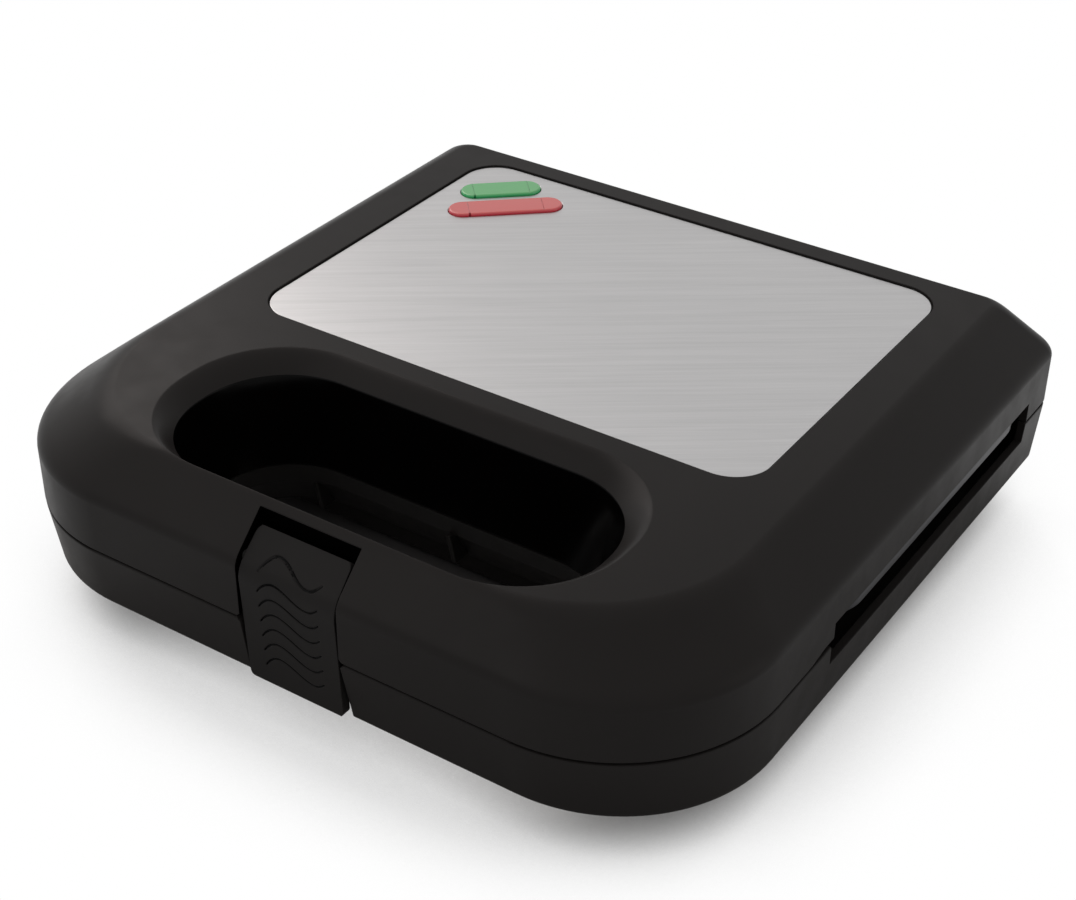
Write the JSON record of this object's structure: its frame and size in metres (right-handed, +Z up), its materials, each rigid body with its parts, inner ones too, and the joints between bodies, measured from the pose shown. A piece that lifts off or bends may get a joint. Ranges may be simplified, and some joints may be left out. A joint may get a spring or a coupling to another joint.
{
  "type": "sandwich toaster",
  "caption": "Clamshell sandwich toaster with hand opening, steel top panel, two slanted lamp windows, rear-hinged lid and rocking front latch.",
  "frame": {"origin": "on the worktop, under the middle of the whole toaster", "axes": "+Z up; +X to the right seen from the front; +Y to the rear, so the latch faces -Y and the hinge is at +Y"},
  "size_m": [0.23, 0.2304, 0.0666],
  "materials": {
    "housing_black": "satin gloss, moulded",
    "latch_black": "satin gloss, moulded",
    "panel_steel": "brushed on a slant",
    "lens_red": "translucent, prismatic",
    "lens_green": "translucent, prismatic",
    "lamp_glass": "clear",
    "plate_coating": "cast, non-stick coating",
    "element_steel": "heat-stained",
    "shield_sheet": "plain sheet",
    "hardware_steel": "zinc plated",
    "hinge_steel": "black, satin",
    "steatite": "matt",
    "gland_black": "matt",
    "foot_rubber": "matt"
  },
  "bodies": {
    "base": {"base_housing": "housing_black", "rubber_feet": "foot_rubber", "lower_cooking_plate": "plate_coating", "lower_plate_screws": "hardware_steel", "lower_heating_element": "element_steel", "lower_heat_shield": "shield_sheet", "lower_shield_screws": "hardware_steel", "thermostat": "steatite", "thermal_fuse": "steatite", "terminal_block": "steatite", "cord_gland": "gland_black", "base_hinge_brackets": "hinge_steel", "hinge_pins": "hardware_steel"},
    "lid": {"lid_housing": "housing_black", "lid_hinge_brackets": "hinge_steel", "top_panel": "panel_steel", "red_lens": "lens_red", "green_lens": "lens_green", "lamp_holder": "steatite", "red_lamp": "lamp_glass", "green_lamp": "lamp_glass", "upper_cooking_plate": "plate_coating", "upper_plate_screws": "hardware_steel", "upper_heating_element": "element_steel", "upper_heat_shield": "shield_sheet", "upper_shield_screws": "hardware_steel", "latch_pin": "hardware_steel"},
    "latch": {"latch": "latch_black"}
  },
  "joints": [
    {"name": "lid_hinge", "type": "hinge", "parent": "base", "child": "lid", "pos_m": [0, 0.10975, 0.0351], "axis": [-1, 0, 0], "range_deg": [0, 105]},
    {"name": "latch_hinge", "type": "hinge", "parent": "lid", "child": "latch", "pos_m": [0, -0.10875, 0.053], "axis": [-1, 0, 0], "range_deg": [0, 35]}
  ]
}
